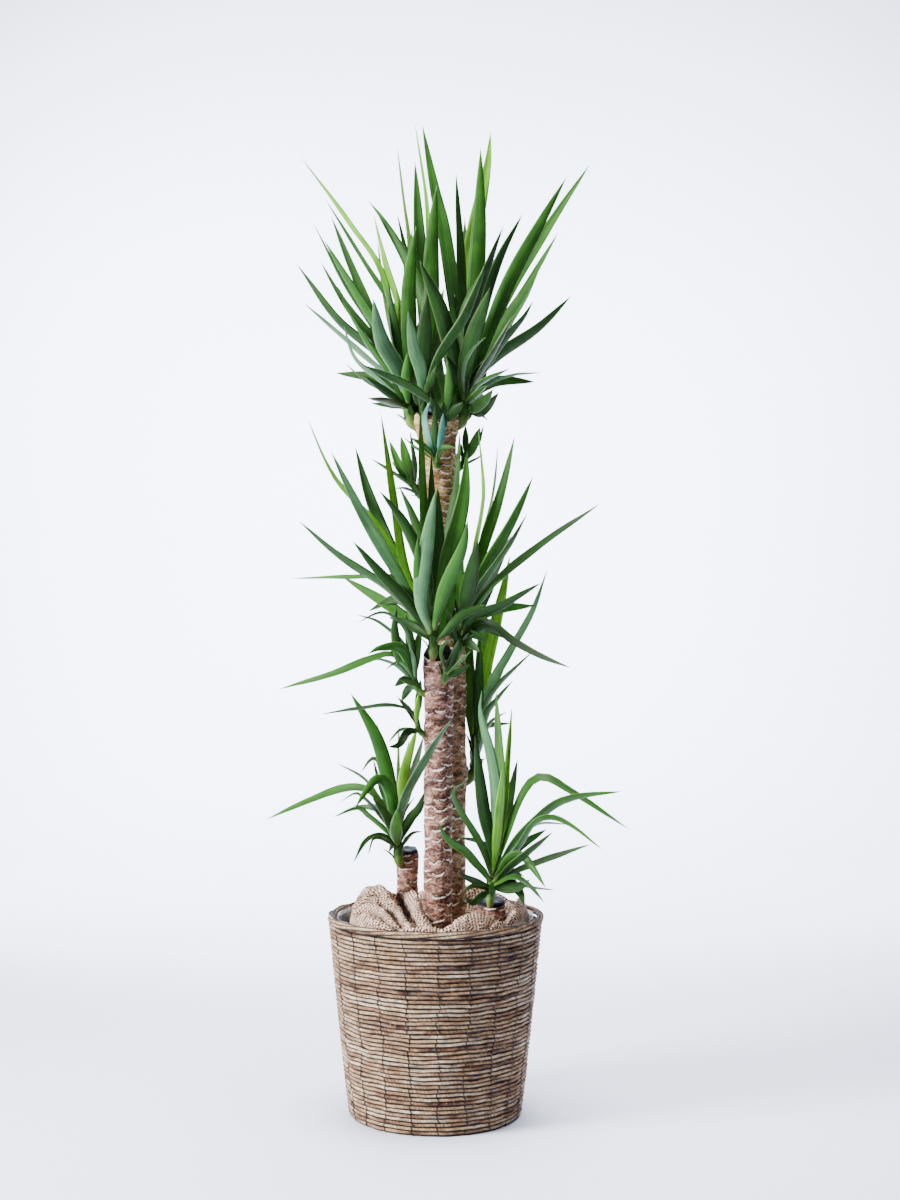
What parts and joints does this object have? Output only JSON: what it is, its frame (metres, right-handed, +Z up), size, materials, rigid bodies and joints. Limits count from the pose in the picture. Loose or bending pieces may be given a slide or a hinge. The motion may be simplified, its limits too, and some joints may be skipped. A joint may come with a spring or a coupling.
{
  "type": "potted yucca",
  "caption": "Yucca with woody canes of different heights and spiky leaf rosettes, in a coiled rope basket with burlap over the soil.",
  "frame": {"origin": "centre of the basket's flat underside, on the floor", "axes": "+Z up along the canes, -Y towards the picture's viewer, +X to the viewer's right"},
  "size_m": [0.6198, 0.412, 1.7055],
  "materials": {
    "rope": "matte",
    "film": "satin",
    "pot_plastic": "satin",
    "soil": "matte",
    "burlap": "matte",
    "bark": "matte",
    "wax": "satin",
    "leaf": "satin"
  },
  "bodies": {
    "root": {"basket": "rope", "basket_rim": "rope", "liner": "film", "nursery_pot": "pot_plastic", "soil": "soil", "burlap": "burlap", "cane_tall": "bark", "cane_medium": "bark", "cane_short_left": "bark", "cane_short_right": "bark", "cap_tall": "wax", "cap_medium": "wax", "cap_short_left": "wax", "cap_short_right": "wax", "shoot_top_left": "leaf", "shoot_top_middle": "leaf", "shoot_top_right": "leaf", "shoot_top_front": "leaf", "shoot_upper_front": "leaf", "shoot_upper_left": "leaf", "shoot_upper_right": "leaf", "shoot_middle_left": "leaf", "shoot_middle_right": "leaf", "shoot_middle_front": "leaf", "shoot_side_upper": "leaf", "shoot_side_lower": "leaf", "shoot_behind": "leaf", "shoot_low_left": "leaf", "shoot_low_right": "leaf"}
  },
  "joints": []
}
